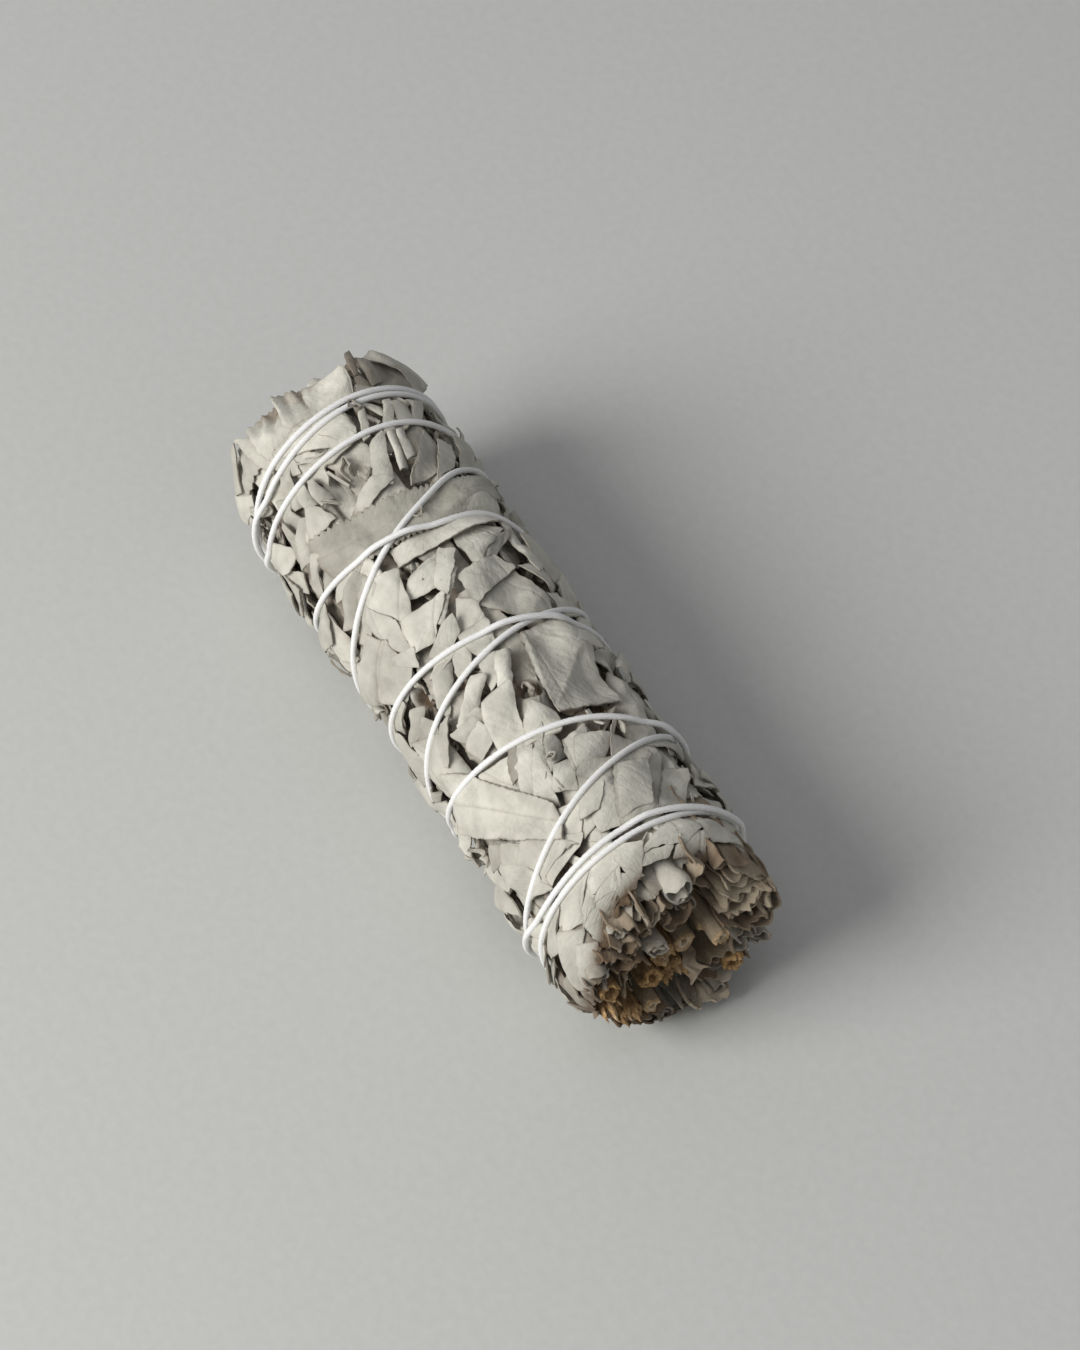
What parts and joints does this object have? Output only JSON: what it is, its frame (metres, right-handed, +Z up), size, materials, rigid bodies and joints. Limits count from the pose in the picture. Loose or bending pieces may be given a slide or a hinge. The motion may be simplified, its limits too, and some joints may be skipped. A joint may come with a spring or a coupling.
{
  "type": "dried sage bundle",
  "caption": "Bundle of dried white sage: cut stems in the middle, leaves laid lengthwise round them, wound with cotton string. It lies on its side, to dry, burn or use in cooking.",
  "frame": {"origin": "on the surface the bundle rests on, under the middle of its bounding box", "axes": "+X along the bundle from the cut stem ends to the leaf tips, +Z up"},
  "size_m": [0.102, 0.0338, 0.0334],
  "materials": {
    "outer_leaf": "felted, matte, pale grey-green dried leaf",
    "middle_leaf": "felted, matte, pale grey-green dried leaf",
    "inner_leaf": "felted, matte, dried leaf",
    "stem": "dry fibrous stem, matte",
    "string": "twisted white cotton"
  },
  "bodies": {
    "root": {"binding_string": "string", "inner_leaf_01": "inner_leaf", "inner_leaf_02": "inner_leaf", "inner_leaf_03": "inner_leaf", "inner_leaf_04": "inner_leaf", "inner_leaf_05": "inner_leaf", "inner_leaf_06": "inner_leaf", "inner_leaf_07": "inner_leaf", "inner_leaf_08": "inner_leaf", "inner_leaf_09": "inner_leaf", "inner_leaf_10": "inner_leaf", "inner_leaf_11": "inner_leaf", "inner_leaf_12": "inner_leaf", "inner_leaf_13": "inner_leaf", "inner_leaf_14": "inner_leaf", "inner_leaf_15": "inner_leaf", "inner_leaf_16": "inner_leaf", "middle_leaf_01": "middle_leaf", "middle_leaf_02": "middle_leaf", "middle_leaf_03": "middle_leaf", "middle_leaf_04": "middle_leaf", "middle_leaf_05": "middle_leaf", "middle_leaf_06": "middle_leaf", "middle_leaf_07": "middle_leaf", "middle_leaf_08": "middle_leaf", "middle_leaf_09": "middle_leaf", "middle_leaf_10": "middle_leaf", "middle_leaf_11": "middle_leaf", "middle_leaf_12": "middle_leaf", "middle_leaf_13": "middle_leaf", "middle_leaf_14": "middle_leaf", "middle_leaf_15": "middle_leaf", "middle_leaf_16": "middle_leaf", "middle_leaf_17": "middle_leaf", "middle_leaf_18": "middle_leaf", "middle_leaf_19": "middle_leaf", "middle_leaf_20": "middle_leaf", "outer_leaf_01": "outer_leaf", "outer_leaf_02": "outer_leaf", "outer_leaf_03": "outer_leaf", "outer_leaf_04": "outer_leaf", "outer_leaf_05": "outer_leaf", "outer_leaf_06": "outer_leaf", "outer_leaf_07": "outer_leaf", "outer_leaf_08": "outer_leaf", "outer_leaf_09": "outer_leaf", "outer_leaf_10": "outer_leaf", "stem_01": "stem", "stem_02": "stem", "stem_03": "stem", "stem_04": "stem", "stem_05": "stem", "stem_06": "stem", "stem_07": "stem", "stem_08": "stem", "stem_09": "stem", "stem_10": "stem", "string_knot": "string"}
  },
  "joints": []
}
